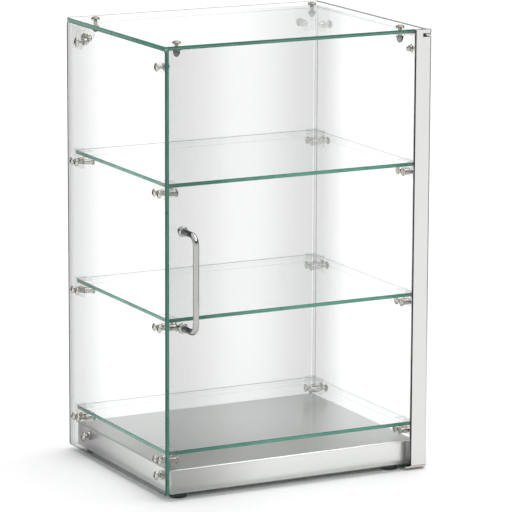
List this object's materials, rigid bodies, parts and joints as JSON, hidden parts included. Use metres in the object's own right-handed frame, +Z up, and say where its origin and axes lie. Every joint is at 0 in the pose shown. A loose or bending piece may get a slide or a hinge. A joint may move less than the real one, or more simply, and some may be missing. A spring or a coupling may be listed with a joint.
{
  "type": "bakery display case",
  "caption": "Countertop bakery display case: a clear glass box on a brushed stainless tray, with glass shelves on clear corner clips and a hinged glass door with a bar handle.",
  "frame": {"origin": "On the floor plane under the feet, under the middle of the whole case with its handle and bolt heads.", "axes": "+Z up, -Y out of the door, +X towards the door's hinge."},
  "size_m": [0.3922, 0.3574, 0.6036],
  "materials": {
    "glass": "clear float glass with ground green edges",
    "clear_plastic": "clear moulded plastic, slightly clouded",
    "brushed_steel": "satin, fine straight brushing",
    "polished_steel": "polished stainless",
    "rubber": "matt moulded rubber",
    "gasket": "matt glazing strip",
    "nylon": "machined nylon"
  },
  "bodies": {
    "case": {"back_bolt_left": "polished_steel", "back_bolt_right": "polished_steel", "back_glass": "glass", "base_bolt_front_left": "polished_steel", "base_bolt_front_right": "polished_steel", "base_bolt_rear_left": "polished_steel", "base_bolt_rear_right": "polished_steel", "base_tray": "brushed_steel", "clip_lower_front_left": "clear_plastic", "clip_lower_front_right": "clear_plastic", "clip_lower_rear_left": "clear_plastic", "clip_lower_rear_right": "clear_plastic", "clip_middle_front_left": "clear_plastic", "clip_middle_front_right": "clear_plastic", "clip_middle_rear_left": "clear_plastic", "clip_middle_rear_right": "clear_plastic", "clip_upper_front_left": "clear_plastic", "clip_upper_front_right": "clear_plastic", "clip_upper_rear_left": "clear_plastic", "clip_upper_rear_right": "clear_plastic", "connector_front_left": "clear_plastic", "connector_front_right": "clear_plastic", "connector_rear_left": "clear_plastic", "connector_rear_right": "clear_plastic", "foot_front_left": "rubber", "foot_front_right": "rubber", "foot_rear_left": "rubber", "foot_rear_right": "rubber", "hinge_plate_bottom": "polished_steel", "hinge_plate_screw_1": "polished_steel", "hinge_plate_screw_2": "polished_steel", "hinge_plate_top": "polished_steel", "left_glass": "glass", "pivot_pin_bottom": "polished_steel", "right_glass": "glass", "shelf_lower": "glass", "shelf_middle": "glass", "shelf_upper": "glass", "side_bolt_front_left": "polished_steel", "side_bolt_front_right": "polished_steel", "side_bolt_rear_left": "polished_steel", "side_bolt_rear_right": "polished_steel", "top_bolt_front_left": "polished_steel", "top_bolt_front_right": "polished_steel", "top_bolt_rear_left": "polished_steel", "top_bolt_rear_right": "polished_steel", "top_glass": "glass"},
    "door": {"door_glass": "glass", "door_stile": "brushed_steel", "stile_gasket": "gasket", "handle": "polished_steel", "handle_collar_bottom": "polished_steel", "handle_collar_top": "polished_steel", "handle_screw_bottom": "polished_steel", "handle_screw_top": "polished_steel", "pivot_screw_top": "polished_steel", "stile_cap_top": "polished_steel", "pivot_block_top": "nylon", "pivot_block_bottom": "nylon"}
  },
  "joints": [
    {"name": "door_hinge", "type": "hinge", "parent": "case", "child": "door", "pos_m": [0.19115, -0.13367, 0.3], "axis": [0, 0, 1], "range_deg": [0, 180]}
  ]
}
